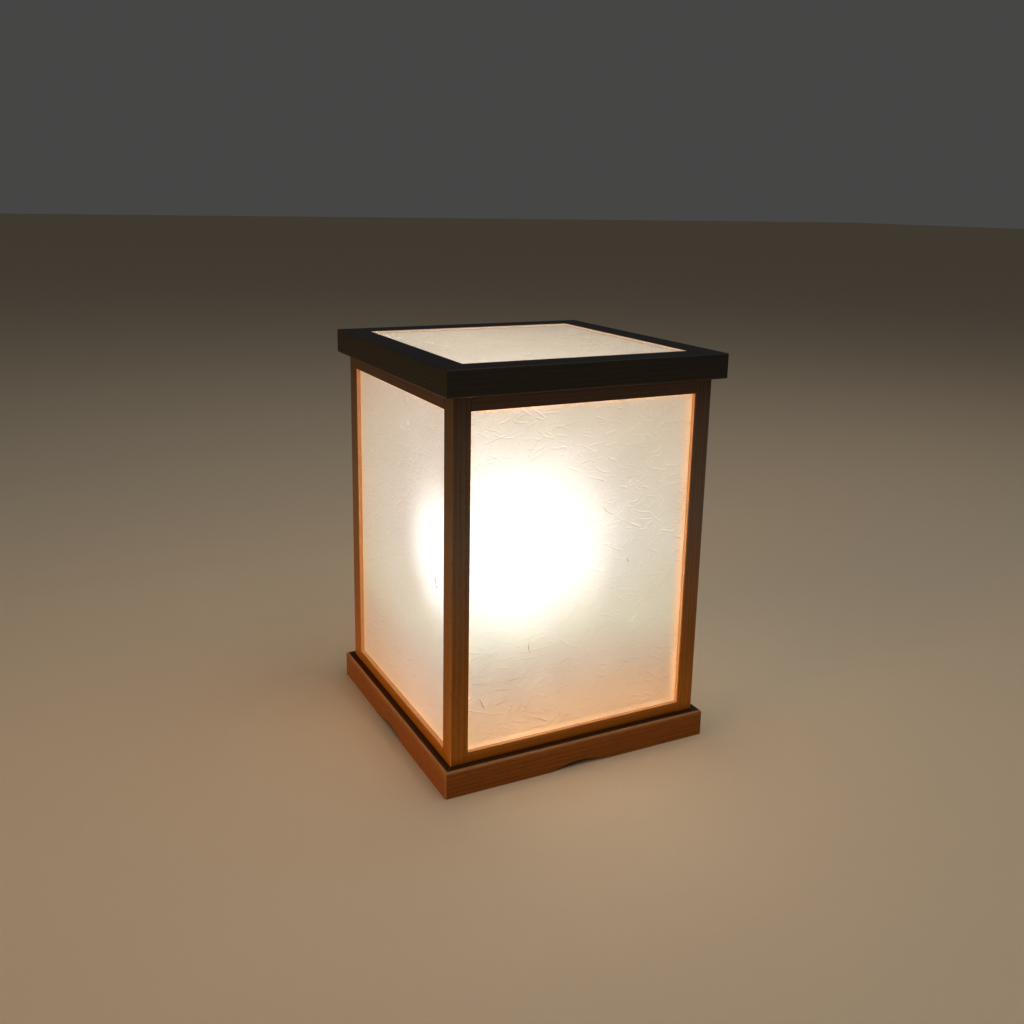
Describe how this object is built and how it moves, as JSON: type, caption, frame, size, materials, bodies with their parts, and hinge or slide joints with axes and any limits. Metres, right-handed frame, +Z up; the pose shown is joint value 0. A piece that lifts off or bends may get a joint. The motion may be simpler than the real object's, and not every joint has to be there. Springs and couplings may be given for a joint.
{
  "type": "andon floor lamp",
  "caption": "Square Japanese paper floor lantern: dark wood frame on an arched plinth, washi panels on its sides and top, lift-off lid, and a bulb on a stem inside.",
  "frame": {"origin": "centre of the footprint, on the floor under the plinth", "axes": "+Z up, towards the lid; -Y is the front, +X the right side"},
  "size_m": [0.323, 0.323, 0.44],
  "materials": {
    "stained_wood": "dark stained, thin satin lacquer",
    "plain_wood": "bare planed softwood",
    "plywood": "bare sanded plywood",
    "washi": "mulberry paper with long fibres on a clear backing, matt",
    "steel": "zinc plated",
    "brass": "plain",
    "nickel": "nickel plated",
    "porcelain": "glazed porcelain",
    "black_plastic": "moulded phenolic",
    "white_plastic": "moulded",
    "circuit_board": "white solder mask",
    "opal_diffuser": "opal, lit warm white"
  },
  "bodies": {
    "base": {"plinth_front": "stained_wood", "plinth_right": "stained_wood", "plinth_back": "stained_wood", "plinth_left": "stained_wood", "cleat_front": "plain_wood", "cleat_right": "plain_wood", "cleat_back": "plain_wood", "cleat_left": "plain_wood", "glue_blocks": "plain_wood", "bottom_board": "plywood", "board_screws": "steel", "stem_flange": "steel", "flange_screws": "steel", "stem_nuts": "steel", "lamp_stem": "steel", "cord_bush": "black_plastic", "socket_base": "black_plastic", "terminal_screws": "brass", "socket_insert": "porcelain", "socket_body": "black_plastic", "socket_shell": "brass", "socket_contact": "brass"},
    "shade": {"post_front_left": "stained_wood", "post_front_right": "stained_wood", "post_back_right": "stained_wood", "post_back_left": "stained_wood", "bottom_rail_front": "stained_wood", "bottom_rail_right": "stained_wood", "bottom_rail_back": "stained_wood", "bottom_rail_left": "stained_wood", "top_rail_front": "stained_wood", "top_rail_right": "stained_wood", "top_rail_back": "stained_wood", "top_rail_left": "stained_wood", "washi_front": "washi", "washi_right": "washi", "washi_back": "washi", "washi_left": "washi", "laths_front": "stained_wood", "laths_right": "stained_wood", "laths_back": "stained_wood", "laths_left": "stained_wood"},
    "lid": {"lid_front": "stained_wood", "lid_right": "stained_wood", "lid_back": "stained_wood", "lid_left": "stained_wood", "washi_top": "washi", "laths_top": "stained_wood", "lid_dowels": "plain_wood"},
    "bulb": {"bulb_contact": "nickel", "bulb_insulator": "black_plastic", "bulb_cap": "nickel", "bulb_housing": "white_plastic", "bulb_driver": "circuit_board", "bulb_led_board": "circuit_board", "bulb_diffuser": "opal_diffuser"}
  },
  "joints": [
    {"name": "shade_lift", "type": "slide", "parent": "base", "child": "shade", "axis": [0, 0, 1], "range_m": [0, 0.25]},
    {"name": "lid_lift", "type": "slide", "parent": "shade", "child": "lid", "axis": [0, 0, 1], "range_m": [0, 0.08]},
    {"name": "bulb_lift", "type": "slide", "parent": "base", "child": "bulb", "axis": [0, 0, 1], "range_m": [0, 0.15]}
  ]
}
